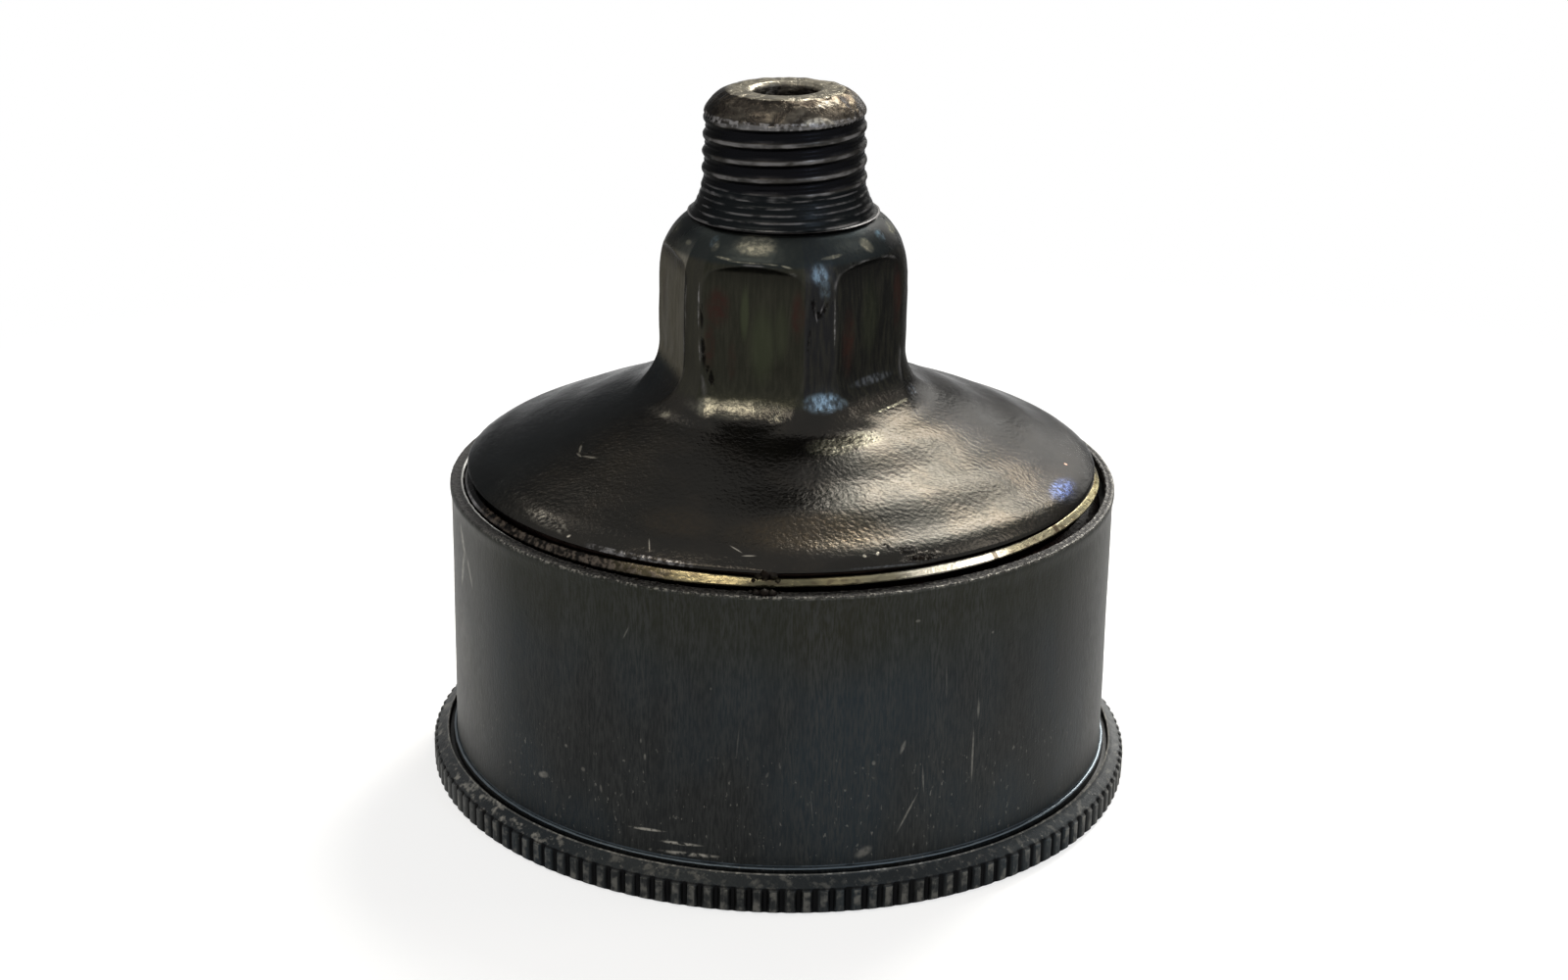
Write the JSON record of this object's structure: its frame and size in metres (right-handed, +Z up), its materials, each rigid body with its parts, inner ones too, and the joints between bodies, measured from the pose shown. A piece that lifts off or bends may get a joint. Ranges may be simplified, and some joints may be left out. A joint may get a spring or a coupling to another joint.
{
  "type": "grease cup",
  "caption": "Screw-down grease cup of blackened steel: a knurled cap holds the grease and screws over a domed base with a hexagon neck and a drilled pipe-threaded stub.",
  "frame": {"origin": "centre of the cap's closed end, on the surface that the cup stands on", "axes": "+Z up along the shared axis, from the cap to the pipe stub; one flat of the hexagon neck faces -Y"},
  "size_m": [0.0586, 0.0586, 0.0566],
  "materials": {
    "cap": "drawn steel, black oxide, worn on the edges",
    "base": "forged and turned steel, black oxide with a warm brown cast, bare thread crests"
  },
  "bodies": {
    "cap": {"cap": "cap"},
    "base": {"base": "base"}
  },
  "joints": [
    {"name": "thread_travel", "type": "slide", "parent": "cap", "child": "base", "axis": [0, 0, 1], "range_m": [-0.0165, 0.0055]}
  ]
}
